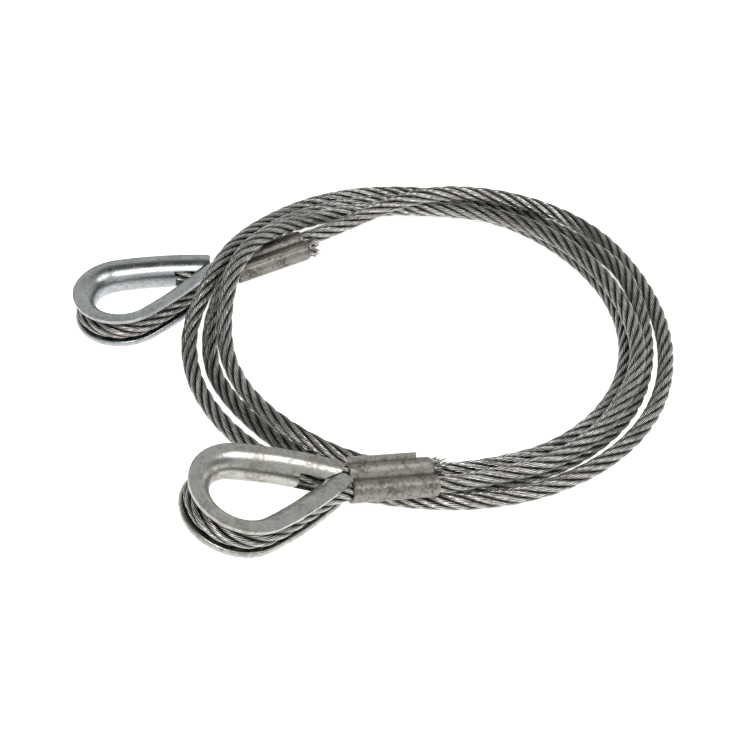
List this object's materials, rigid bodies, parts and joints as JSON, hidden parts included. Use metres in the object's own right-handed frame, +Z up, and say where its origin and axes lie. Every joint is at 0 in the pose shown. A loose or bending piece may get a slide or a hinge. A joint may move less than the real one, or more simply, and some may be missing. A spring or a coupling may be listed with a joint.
{
  "type": "wire rope sling with thimble eyes",
  "caption": "Coiled wire rope sling with a pressed steel thimble eye and a double-barrel ferrule at each end.",
  "frame": {"origin": "middle of the foot of the two thimble eyes with their ferrules, on the surface that the sling lies on", "axes": "+Z up; +Y away from the viewer, from the front eye towards the rear eye; +X to the right, from the eyes towards the coil"},
  "size_m": [0.2979, 0.2968, 0.0594],
  "materials": {
    "thimble_zinc": "pressed steel, zinc plated, satin with dull handling marks",
    "ferrule_alloy": "pressed aluminium alloy, mottled dull grey with press marks",
    "wire_rope": "galvanised steel wires, six strands laid right-hand"
  },
  "bodies": {
    "root": {"front_thimble": "thimble_zinc", "rear_thimble": "thimble_zinc", "front_ferrule": "ferrule_alloy", "rear_ferrule": "ferrule_alloy", "front_eye_rope": "wire_rope", "rear_eye_rope": "wire_rope", "front_lead": "wire_rope", "rear_lead": "wire_rope", "rope_coil": "wire_rope"}
  },
  "joints": []
}
